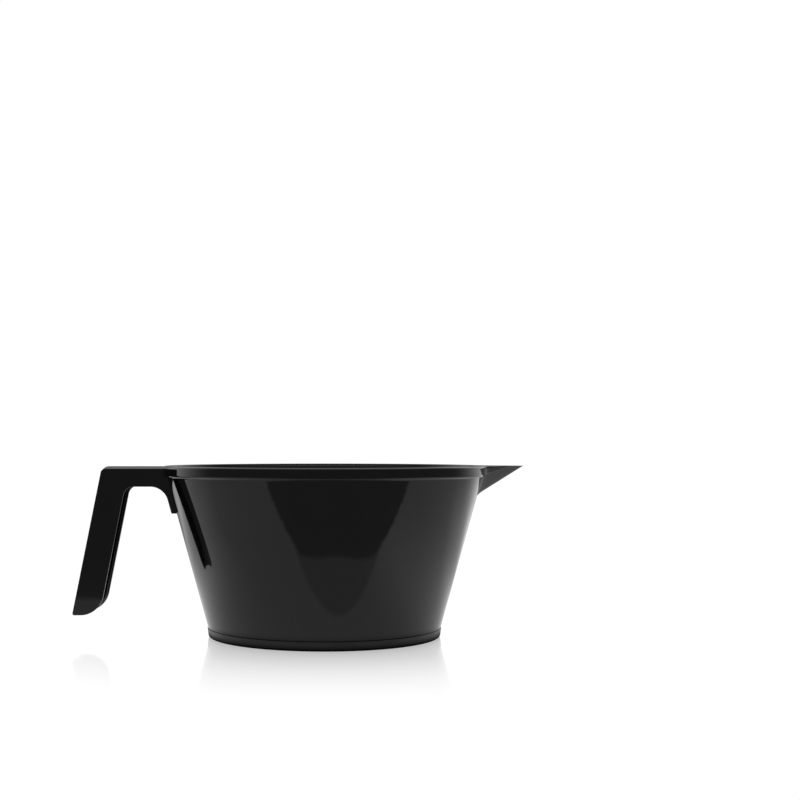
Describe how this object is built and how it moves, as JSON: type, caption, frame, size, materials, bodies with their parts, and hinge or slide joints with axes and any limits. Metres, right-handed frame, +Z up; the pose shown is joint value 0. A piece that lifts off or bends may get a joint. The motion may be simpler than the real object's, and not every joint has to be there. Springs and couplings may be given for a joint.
{
  "type": "hair color bowl",
  "caption": "Conical mixing bowl for hair color with a lip, a pointed pouring spout, a hooked handle and a non-slip rubber foot ring.",
  "frame": {"origin": "centre of the flat ring face that the bowl stands on, on the bowl's axis", "axes": "+Z up along the bowl's axis, +X out along the pouring spout with the handle on the -X side, XZ the plane of symmetry"},
  "size_m": [0.176, 0.126, 0.0666],
  "materials": {
    "moulded_plastic": "glossy black, as moulded",
    "foot_rubber": "satin black rubber"
  },
  "bodies": {
    "root": {"bowl_shell": "moulded_plastic", "handle": "moulded_plastic", "foot_ring": "foot_rubber"}
  },
  "joints": []
}
